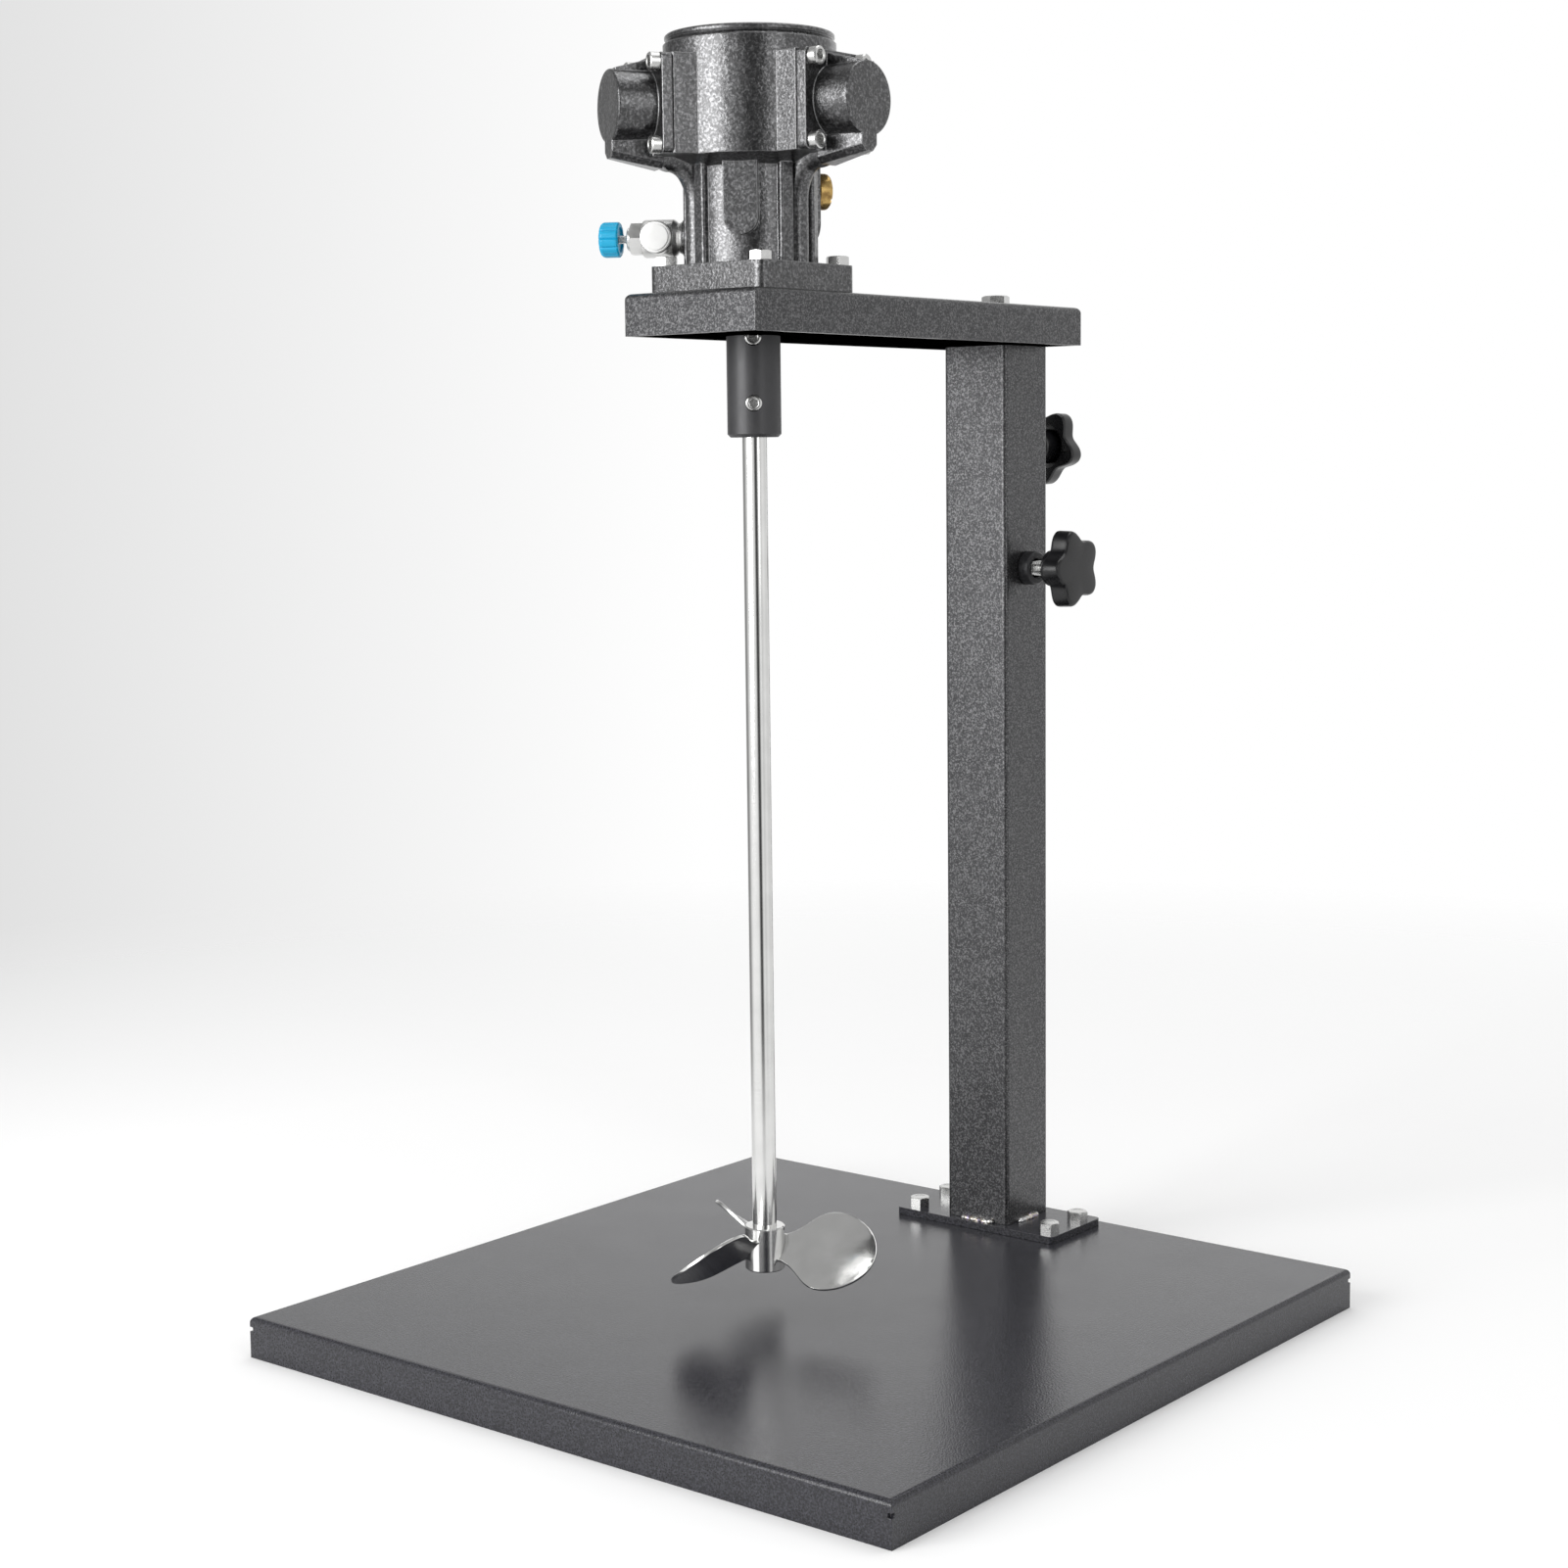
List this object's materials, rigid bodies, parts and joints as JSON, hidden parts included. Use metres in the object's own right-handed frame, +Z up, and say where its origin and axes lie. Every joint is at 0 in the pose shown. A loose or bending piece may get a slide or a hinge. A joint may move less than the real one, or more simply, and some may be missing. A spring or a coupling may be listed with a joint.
{
  "type": "pneumatic paint mixer",
  "caption": "Bench stand paint mixer: radial piston air motor on a height-adjustable arm turns a long stirrer shaft with a bladed propeller over a square base.",
  "frame": {"origin": "on the floor, below the middle of the whole mixer's outline", "axes": "+Z up along the mast, +Y from the stirrer towards the mast and the rear clamp, +X to the side with the lower clamp knob"},
  "size_m": [0.4, 0.4242, 0.6425],
  "materials": {
    "painted_sheet": "semi-gloss dark grey textured paint",
    "painted_casting": "hammered dark grey paint",
    "zinc": "zinc plated",
    "stainless": "polished stainless steel",
    "inner_steel": "ground steel",
    "black_plastic": "glossy black moulded plastic",
    "blackened_steel": "black finish",
    "coupling_steel": "satin dark grey",
    "nickel": "bright nickel",
    "blue_plastic": "satin blue moulded plastic",
    "brass": "turned brass",
    "seal_rubber": "matt black rubber",
    "weld_metal": "bare weld metal"
  },
  "bodies": {
    "stand": {"base_plate": "painted_sheet", "foot_plate": "painted_sheet", "mast_tube": "painted_sheet", "mast_welds": "weld_metal", "foot_bolts": "zinc", "foot_washers": "zinc", "foot_nuts": "zinc", "side_clamp_boss": "blackened_steel", "rear_clamp_boss": "blackened_steel"},
    "head": {"inner_tube": "inner_steel", "head_plug": "inner_steel", "arm_bracket": "painted_sheet", "arm_bolt": "zinc", "arm_washer": "zinc", "flange_bolts": "zinc", "flange_nuts": "zinc", "motor_housing": "painted_casting", "motor_lid": "painted_casting", "cap_right": "painted_casting", "cap_front": "painted_casting", "cap_rear": "painted_casting", "liner_right": "inner_steel", "liner_front": "inner_steel", "liner_rear": "inner_steel", "cap_screws": "zinc", "lower_bearing": "inner_steel", "upper_bearing": "inner_steel", "top_bearing": "inner_steel", "shaft_seal": "seal_rubber", "valve_body": "nickel", "valve_gland": "nickel", "silencer": "brass"},
    "spindle": {"crankshaft": "inner_steel", "crank_roller": "inner_steel", "rotary_valve": "inner_steel", "coupling": "coupling_steel", "coupling_screws": "zinc", "stirrer_shaft": "stainless", "propeller_hub": "stainless", "blade_1": "stainless", "blade_2": "stainless", "blade_3": "stainless"},
    "right_piston": {"piston_right": "inner_steel"},
    "front_piston": {"piston_front": "inner_steel"},
    "rear_piston": {"piston_rear": "inner_steel"},
    "side_screw": {"side_stud": "zinc"},
    "side_handle": {"side_jam_nut": "zinc", "side_knob": "black_plastic"},
    "rear_screw": {"rear_stud": "zinc"},
    "rear_handle": {"rear_jam_nut": "zinc", "rear_knob": "black_plastic"},
    "valve_needle": {"valve_stem": "nickel"},
    "valve_handle": {"valve_dial": "blue_plastic"}
  },
  "joints": [
    {"name": "head_height", "type": "slide", "parent": "stand", "child": "head", "axis": [0, 0, 1], "range_m": [0, 0.25]},
    {"name": "spindle_spin", "type": "hinge", "parent": "head", "child": "spindle", "pos_m": [0, -0.04895, 0.5], "axis": [0, 0, 1], "continuous": true},
    {"name": "right_piston_stroke", "type": "slide", "parent": "head", "child": "right_piston", "axis": [1, 0, 0], "range_m": [-0.012, 0]},
    {"name": "front_piston_stroke", "type": "slide", "parent": "head", "child": "front_piston", "axis": [-0.5, -0.866, 0], "range_m": [-0.003, 0.009]},
    {"name": "rear_piston_stroke", "type": "slide", "parent": "head", "child": "rear_piston", "axis": [-0.5, 0.866, 0], "range_m": [-0.003, 0.009]},
    {"name": "side_screw_travel", "type": "slide", "parent": "stand", "child": "side_screw", "axis": [1, 0, 0], "range_m": [0, 0.00376]},
    {"name": "side_knob_turn", "type": "hinge", "parent": "side_screw", "child": "side_handle", "pos_m": [0.04, 0.15535, 0.384], "axis": [1, 0, 0], "range_deg": [0, 1080]},
    {"name": "rear_screw_travel", "type": "slide", "parent": "stand", "child": "rear_screw", "axis": [0, 1, 0], "range_m": [-0.00376, 0.00126]},
    {"name": "rear_knob_turn", "type": "hinge", "parent": "rear_screw", "child": "rear_handle", "pos_m": [0, 0.19535, 0.449], "axis": [0, 1, 0], "range_deg": [-1080, 360]},
    {"name": "needle_travel", "type": "slide", "parent": "head", "child": "valve_needle", "axis": [-0.866, -0.5, 0], "range_m": [0, 0.00301]},
    {"name": "dial_turn", "type": "hinge", "parent": "valve_needle", "child": "valve_handle", "pos_m": [-0.05889, -0.08295, 0.549], "axis": [-0.866, -0.5, 0], "range_deg": [0, 1440]}
  ],
  "couplings": [
    {"joint": "side_screw_travel", "follows": "side_knob_turn", "m_per_rad": 0.00019894},
    {"joint": "rear_screw_travel", "follows": "rear_knob_turn", "m_per_rad": 0.00019894},
    {"joint": "needle_travel", "follows": "dial_turn", "m_per_rad": 0.00011937}
  ]
}
